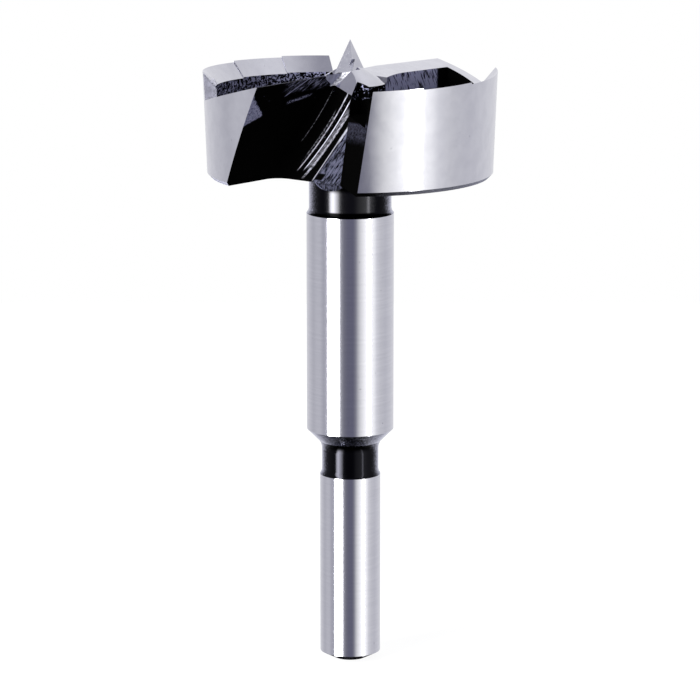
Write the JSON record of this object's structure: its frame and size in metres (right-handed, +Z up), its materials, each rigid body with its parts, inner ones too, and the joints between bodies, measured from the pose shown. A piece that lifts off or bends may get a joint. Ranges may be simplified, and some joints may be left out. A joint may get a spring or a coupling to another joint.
{
  "type": "forstner bit",
  "caption": "Wood-boring bit with a wide round head, slanted chip slots, centre point and round shank.",
  "frame": {"origin": "centre of the shank's end face, which is the lowest point of the standing bit", "axes": "+Z up the axis from the shank to the centre point, +X to the right in the picture, +Y away from its viewer"},
  "size_m": [0.0456, 0.045, 0.0987],
  "materials": {
    "tool_steel": "ground"
  },
  "bodies": {
    "root": {"forstner_bit": "tool_steel"}
  },
  "joints": []
}
